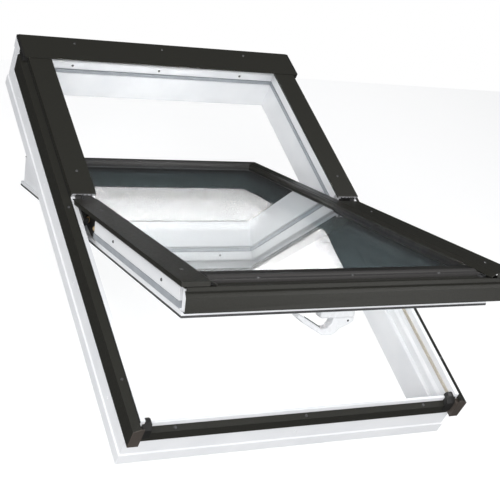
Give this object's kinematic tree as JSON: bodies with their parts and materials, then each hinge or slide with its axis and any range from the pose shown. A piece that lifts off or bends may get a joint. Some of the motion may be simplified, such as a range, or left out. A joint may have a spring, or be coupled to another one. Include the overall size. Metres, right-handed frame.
{
  "type": "roof skylight",
  "caption": "Centre-pivot roof window: white moulded frame, dark metal cladding, a glazed sash on arc hinges, and a handle with a latch bolt.",
  "frame": {"origin": "centre of the frame's room-side plane, in the roof opening", "axes": "+X to the right, +Y up the slope of the roof, +Z out of the roof"},
  "size_m": [0.7836, 1.1996, 0.6778],
  "materials": {
    "pvc_white": "satin moulded plastic",
    "cladding_dark": "dark grey-brown coated aluminium",
    "end_cap_brown": "matt brown plastic",
    "plastic_black": "matt black plastic",
    "rubber_black": "matt",
    "rubber_grey": "matt grey",
    "rubber_beige": "matt beige",
    "glass_clear": "clear float glass",
    "spacer_dark": "dark edge spacer",
    "brass": "worn brass",
    "steel": "zinc plated",
    "handle_white": "gloss white",
    "insert_grey": "matt dark grey"
  },
  "bodies": {
    "frame": {"cladding_end_caps": "end_cap_brown", "corner_blocks": "plastic_black", "cover_brackets": "plastic_black", "flange_gaskets": "rubber_beige", "frame_head": "pvc_white", "frame_jamb_left": "pvc_white", "frame_jamb_right": "pvc_white", "frame_screws": "steel", "frame_sill": "pvc_white", "head_hood": "cladding_dark", "hinge_housing_left": "plastic_black", "hinge_housing_right": "plastic_black", "hood_end_caps": "plastic_black", "hood_rivets": "steel", "hood_supports": "pvc_white", "jamb_cladding_left": "cladding_dark", "jamb_cladding_right": "cladding_dark", "keeper_plate": "steel", "outer_gaskets": "rubber_black", "sill_cladding": "cladding_dark", "upper_cover_left": "cladding_dark", "upper_cover_right": "cladding_dark", "upper_gasket_head": "rubber_grey", "upper_gaskets": "rubber_grey", "upper_strip_head": "pvc_white", "upper_strip_left": "pvc_white", "upper_strip_right": "pvc_white"},
    "sash": {"bar_clips": "steel", "bottom_bar": "cladding_dark", "cover_seals": "rubber_black", "glass_inner": "glass_clear", "glass_outer": "glass_clear", "glass_spacer": "spacer_dark", "glazing_gasket": "rubber_grey", "handle_base": "handle_white", "hinge_arm_left": "plastic_black", "hinge_arm_right": "plastic_black", "hinge_knobs": "brass", "lip_gasket": "rubber_grey", "lock_faceplate": "steel", "lower_gaskets": "rubber_grey", "lower_strip_left": "pvc_white", "lower_strip_right": "pvc_white", "sash_bead_bottom": "plastic_black", "sash_bead_left": "cladding_dark", "sash_bead_right": "cladding_dark", "sash_bead_top": "cladding_dark", "sash_bottom_rail": "pvc_white", "sash_cover_left": "cladding_dark", "sash_cover_right": "cladding_dark", "sash_screws": "steel", "sash_stile_left": "pvc_white", "sash_stile_right": "pvc_white", "sash_top_rail": "pvc_white", "skirt": "cladding_dark", "skirt_plugs": "pvc_white"},
    "handle": {"handle_insert": "insert_grey", "handle_lever": "handle_white", "handle_screw": "plastic_black"},
    "latch": {"latch_bolt": "steel"}
  },
  "joints": [
    {"name": "sash_pivot", "type": "hinge", "parent": "frame", "child": "sash", "pos_m": [0, 0, 0.159], "axis": [-1, 0, 0], "range_deg": [-31.4, 118.6]},
    {"name": "handle_turn", "type": "hinge", "parent": "sash", "child": "handle", "pos_m": [0.027, -0.5133, 0.3411], "axis": [0, -0.521, -0.8536], "range_deg": [0, 90]},
    {"name": "latch_slide", "type": "slide", "parent": "sash", "child": "latch", "axis": [0, -0.8536, 0.521], "range_m": [0, 0.0151]}
  ],
  "couplings": [
    {"joint": "latch_slide", "follows": "handle_turn", "m_per_rad": 0.009549}
  ]
}
